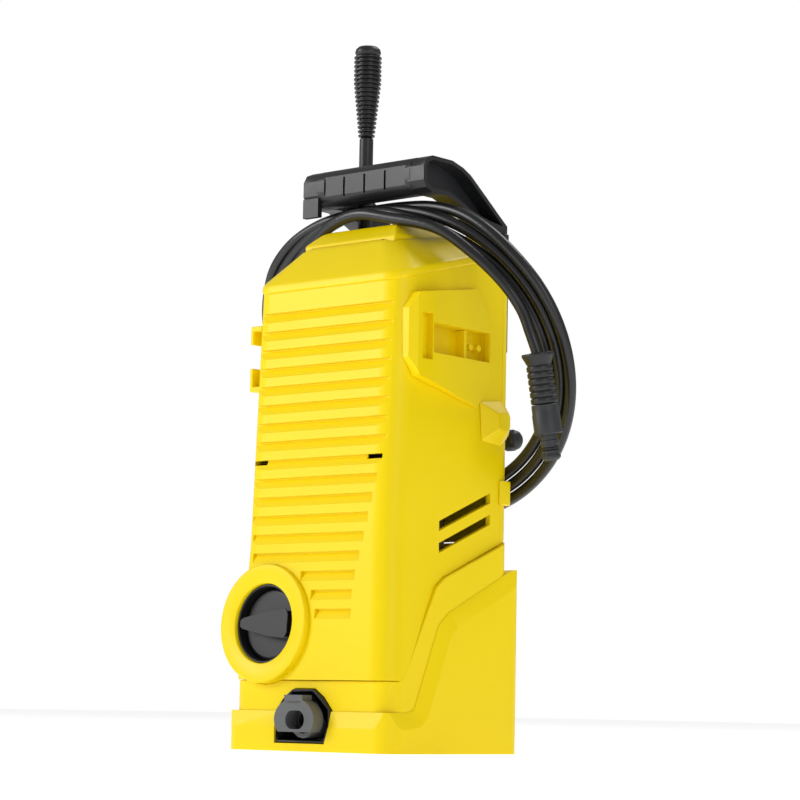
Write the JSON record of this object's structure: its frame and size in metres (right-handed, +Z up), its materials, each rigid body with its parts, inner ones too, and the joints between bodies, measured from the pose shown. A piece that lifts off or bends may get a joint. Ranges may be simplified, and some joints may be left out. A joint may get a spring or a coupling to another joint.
{
  "type": "pressure washer",
  "caption": "Upright electric pressure washer with bow handle, rotary switch, snap water inlet, parked lance and a coiled high-pressure hose.",
  "frame": {"origin": "centre of the base on the floor", "axes": "+Z up, -Y out of the front with the louvres and the switch, +X to the side with the holster"},
  "size_m": [0.3052, 0.18, 0.543],
  "materials": {
    "yellow_shell": "moulded, fine satin grain",
    "black_shell": "moulded, satin",
    "grey_plastic": "moulded",
    "dark_grey_plastic": "moulded",
    "hose_rubber": "smooth PVC hose",
    "soft_rubber": "moulded",
    "steel": "turned",
    "aluminium": "die cast",
    "brass": "turned",
    "copper": "wound wire"
  },
  "bodies": {
    "casing": {"main_housing": "yellow_shell", "rear_housing": "yellow_shell", "lower_housing": "yellow_shell", "base_plinth": "yellow_shell", "roof_cover": "yellow_shell", "top_cap": "yellow_shell", "switch_bezel": "yellow_shell", "side_holster": "yellow_shell", "holster_tray": "yellow_shell", "side_boss": "yellow_shell", "upper_clip": "yellow_shell", "lower_clip": "yellow_shell", "hose_rest_left": "yellow_shell", "hose_rest_right": "yellow_shell", "base_plate": "black_shell", "carry_handle": "black_shell", "handle_back_frame": "black_shell", "switch_cup": "black_shell", "inlet_liner": "black_shell", "lance_socket": "black_shell", "outlet_elbow": "black_shell", "outlet_cap": "black_shell", "connector_grip": "black_shell", "inlet_body": "grey_plastic", "switch_box": "dark_grey_plastic", "inlet_filter": "dark_grey_plastic", "motor_end_cap": "dark_grey_plastic", "connector_sleeve": "dark_grey_plastic", "connector_nipple": "dark_grey_plastic", "hose_lead": "hose_rubber", "hose_coil": "hose_rubber", "hose_tail": "hose_rubber", "inlet_pipe": "soft_rubber", "bend_protector": "soft_rubber", "cable_gland": "soft_rubber", "connector_ring": "soft_rubber", "motor_can": "steel", "upper_bearing": "steel", "lower_bearing": "steel", "piston_spring_1": "steel", "piston_spring_2": "steel", "piston_spring_3": "steel", "cover_screw_left": "steel", "cover_screw_right": "steel", "drive_flange": "aluminium", "pump_block": "aluminium", "cylinder_head": "brass", "motor_stator": "copper"},
    "knob": {"switch_knob": "black_shell"},
    "lance": {"lance_tube": "black_shell", "lance_head": "black_shell"},
    "latch": {"inlet_latch": "grey_plastic"},
    "rotor": {"rotor_shaft": "steel", "rotor_core": "steel", "commutator": "copper", "cooling_fan": "black_shell", "wobble_plate": "steel"},
    "piston_a": {"piston_1": "steel"},
    "piston_b": {"piston_2": "steel"},
    "piston_c": {"piston_3": "steel"}
  },
  "joints": [
    {"name": "switch_turn", "type": "hinge", "parent": "casing", "child": "knob", "pos_m": [-0.0432, -0.07, 0.0925], "axis": [0, -0.9976, 0.0698], "range_deg": [-90, 0]},
    {"name": "lance_pull", "type": "slide", "parent": "casing", "child": "lance", "axis": [0, 0, 1], "range_m": [0, 0.15]},
    {"name": "latch_press", "type": "slide", "parent": "casing", "child": "latch", "axis": [0, 0, -1], "range_m": [0, 0.003], "stiffness_N_per_m": 400, "springref_m": -0.002},
    {"name": "motor_spin", "type": "hinge", "parent": "casing", "child": "rotor", "pos_m": [0.012, 0.002, 0.2], "axis": [0, 0, 1], "continuous": true},
    {"name": "piston_stroke_1", "type": "slide", "parent": "casing", "child": "piston_a", "axis": [0, 0, -1], "range_m": [0, 0.004], "stiffness_N_per_m": 500, "springref_m": -0.002, "deforming": ["piston_spring_1"]},
    {"name": "piston_stroke_2", "type": "slide", "parent": "casing", "child": "piston_b", "axis": [0, 0, -1], "range_m": [0, 0.004], "stiffness_N_per_m": 500, "springref_m": -0.002, "deforming": ["piston_spring_2"]},
    {"name": "piston_stroke_3", "type": "slide", "parent": "casing", "child": "piston_c", "axis": [0, 0, -1], "range_m": [0, 0.004], "stiffness_N_per_m": 500, "springref_m": -0.002, "deforming": ["piston_spring_3"]}
  ]
}
